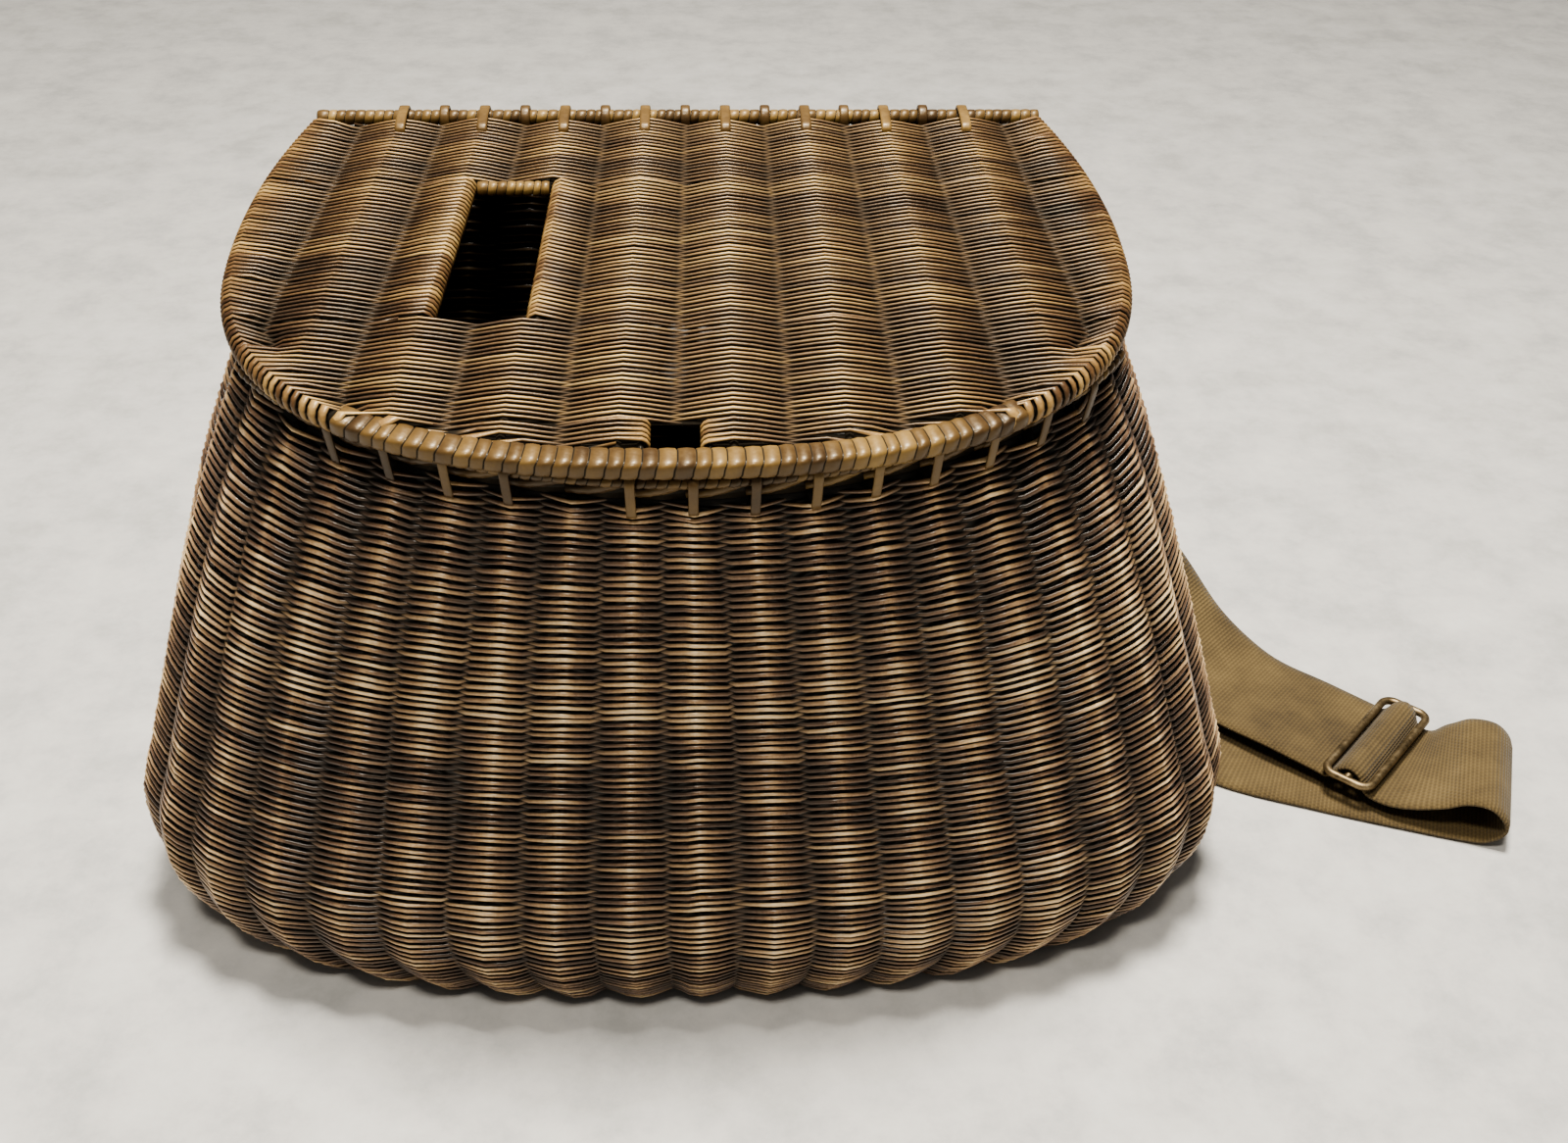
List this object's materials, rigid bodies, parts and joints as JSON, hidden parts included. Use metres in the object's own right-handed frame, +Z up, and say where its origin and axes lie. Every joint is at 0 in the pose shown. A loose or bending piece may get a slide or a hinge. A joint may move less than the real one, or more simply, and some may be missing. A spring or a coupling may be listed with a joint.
{
  "type": "fishing creel bag",
  "caption": "Woven wicker fishing creel with a rounded belly, a sloping hinged lid with a fish hole and latch notch, and a webbing shoulder strap with a wire slider.",
  "frame": {"origin": "centre of the flat base, on the surface that the creel stands on", "axes": "+X along the creel to the strap's fold, -Y to the bellied front, +Y to the hollowed back that rests on the wearer, +Z up"},
  "size_m": [0.4813, 0.207, 0.2324],
  "materials": {
    "basket_willow": "varnished brown willow weave with dark gaps",
    "lid_willow": "varnished golden-brown willow weave",
    "cane": "varnished flat cane, warm tan",
    "webbing": "olive-khaki cotton webbing, matte",
    "slider_wire": "aged, dull bronze-brown wire"
  },
  "bodies": {
    "body": {"basket": "basket_willow", "rim_border": "cane", "rim_rod": "cane", "border_tie_01": "cane", "border_tie_02": "cane", "border_tie_03": "cane", "border_tie_04": "cane", "border_tie_05": "cane", "border_tie_06": "cane", "border_tie_07": "cane", "border_tie_08": "cane", "border_tie_09": "cane", "border_tie_10": "cane", "border_tie_11": "cane", "border_tie_12": "cane", "border_tie_13": "cane", "hinge_rod": "cane", "rod_tie_01": "cane", "rod_tie_02": "cane", "rod_tie_03": "cane", "rod_tie_04": "cane", "rod_tie_05": "cane", "rod_tie_06": "cane", "rod_tie_07": "cane", "strap": "webbing", "slider": "slider_wire", "strap_loop_right": "cane", "strap_loop_left": "cane"},
    "lid": {"lid_panel": "lid_willow", "lid_rim": "cane", "fish_hole_bar": "cane", "hinge_tie_01": "cane", "hinge_tie_02": "cane", "hinge_tie_03": "cane", "hinge_tie_04": "cane", "hinge_tie_05": "cane", "hinge_tie_06": "cane", "hinge_tie_07": "cane", "hinge_tie_08": "cane"}
  },
  "joints": [
    {"name": "lid_hinge", "type": "hinge", "parent": "body", "child": "lid", "pos_m": [0, 0.08853, 0.22846], "axis": [-1, 0, 0], "range_deg": [0, 110]}
  ]
}
